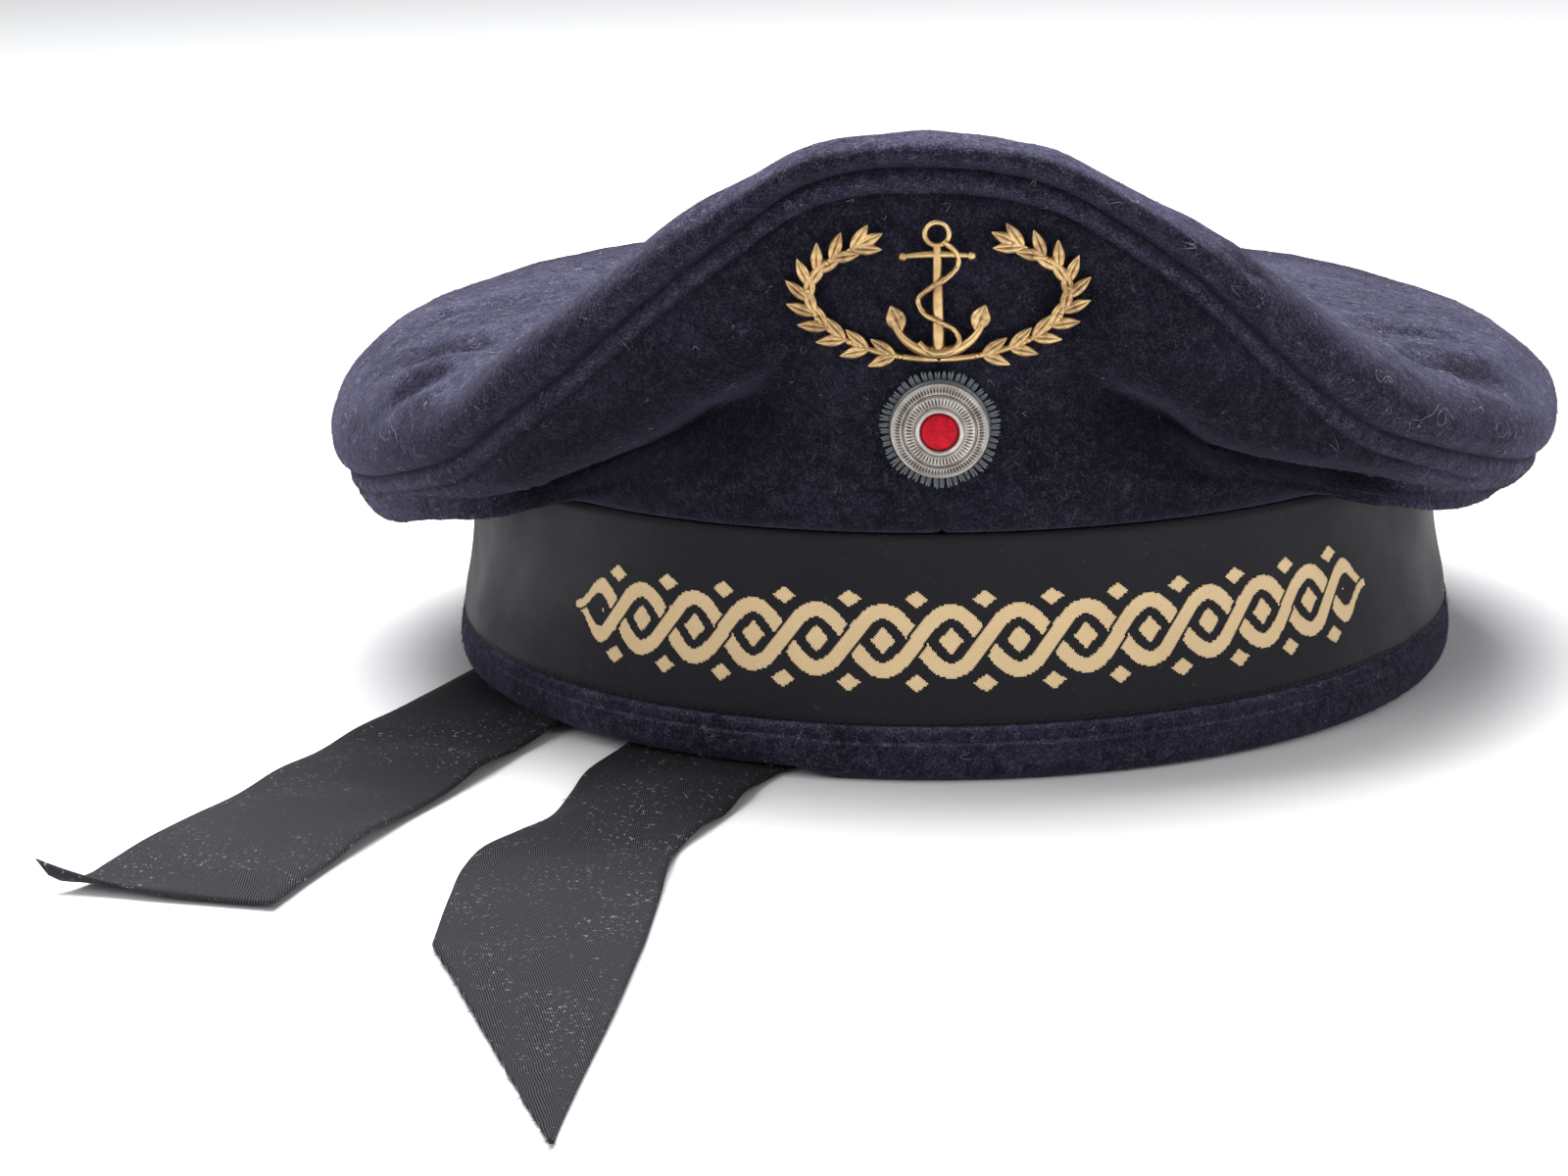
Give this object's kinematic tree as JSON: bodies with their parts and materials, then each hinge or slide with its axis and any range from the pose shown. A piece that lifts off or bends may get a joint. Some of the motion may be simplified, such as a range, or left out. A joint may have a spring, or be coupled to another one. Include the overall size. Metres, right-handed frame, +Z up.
{
  "type": "sailor cap",
  "caption": "Navy wool sailor cap with a peaked front, a woven ribbon with long tails, an anchor badge and a round cockade.",
  "frame": {"origin": "middle of the whole footprint, tails included, on the surface that the cap rests on", "axes": "+Z up, -Y the way the cap faces, +X the wearer's left"},
  "size_m": [0.245, 0.3834, 0.1092],
  "materials": {
    "navy_wool": "matte felted wool",
    "black_ribbon": "matte woven ribbon",
    "worn_gilt": "worn gilt",
    "cockade_cloth": "dark enamelled, toothed",
    "oxidised_silver": "dull, oxidised silver wash",
    "red_felt": "matte felt"
  },
  "bodies": {
    "root": {"headband": "navy_wool", "crown_side_left": "navy_wool", "crown_side_right": "navy_wool", "crown_top": "navy_wool", "tally_ribbon": "black_ribbon", "ribbon_knot": "black_ribbon", "ribbon_tail_far": "black_ribbon", "ribbon_tail_near": "black_ribbon", "cap_badge": "worn_gilt", "cockade_rim": "cockade_cloth", "cockade_disc": "oxidised_silver", "cockade_centre": "red_felt"}
  },
  "joints": []
}
